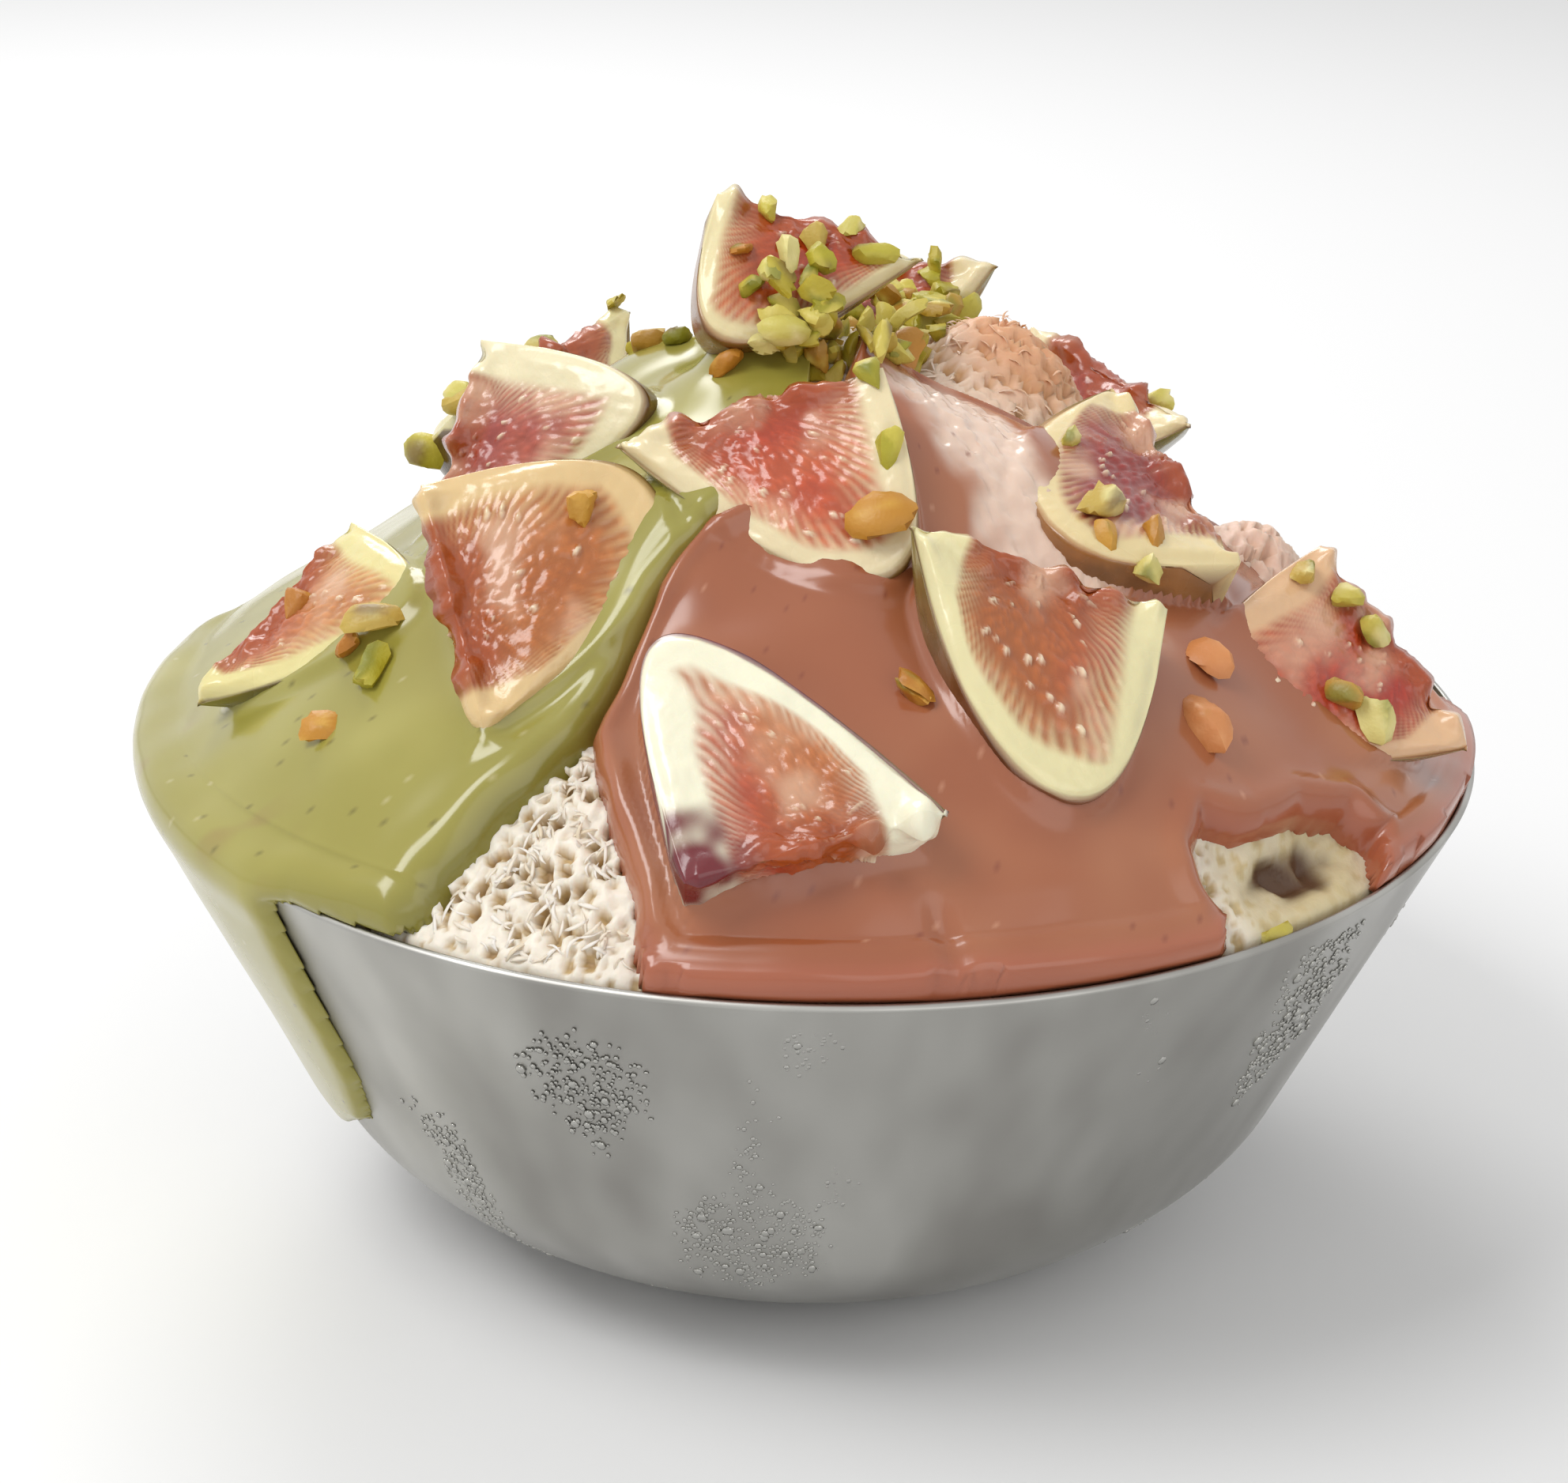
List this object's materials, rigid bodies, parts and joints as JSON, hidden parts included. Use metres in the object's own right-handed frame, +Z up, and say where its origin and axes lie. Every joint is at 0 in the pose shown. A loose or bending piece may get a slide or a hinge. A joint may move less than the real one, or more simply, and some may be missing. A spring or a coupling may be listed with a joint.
{
  "type": "shaved ice dessert",
  "caption": "Mound of shaved ice in a flared steel bowl under pistachio cream and fig cream, one running over the rim, with fresh fig wedges and chopped nuts on top.",
  "frame": {"origin": "centre of the bowl's flat base, where it rests", "axes": "+Z up through the bowl's axis; -Y is the front, the side the picture was taken from; +X is to the right seen from the front"},
  "size_m": [0.1854, 0.18, 0.1403],
  "materials": {
    "steel": "fine brushed stainless steel, fogged with condensation",
    "ice": "milk-white shaved ice, lacy and moist",
    "green_cream": "poured pistachio cream, soft gloss",
    "pink_cream": "poured fig cream, soft gloss",
    "fig_flesh": "cut fresh fig, wet"
  },
  "bodies": {
    "root": {"bowl": "steel", "shaved_ice": "ice", "pistachio_cream": "green_cream", "fig_cream": "pink_cream", "fig_crown": "fig_flesh", "fig_left_high": "fig_flesh", "fig_centre_high": "fig_flesh", "fig_left_rim": "fig_flesh", "fig_left_low": "fig_flesh", "fig_front_low": "fig_flesh", "fig_right_low": "fig_flesh", "fig_right_high": "fig_flesh", "fig_right_rim": "fig_flesh", "fig_back_high": "fig_flesh", "fig_back_left": "fig_flesh", "fig_back_right": "fig_flesh", "fig_back_low": "fig_flesh"}
  },
  "joints": []
}
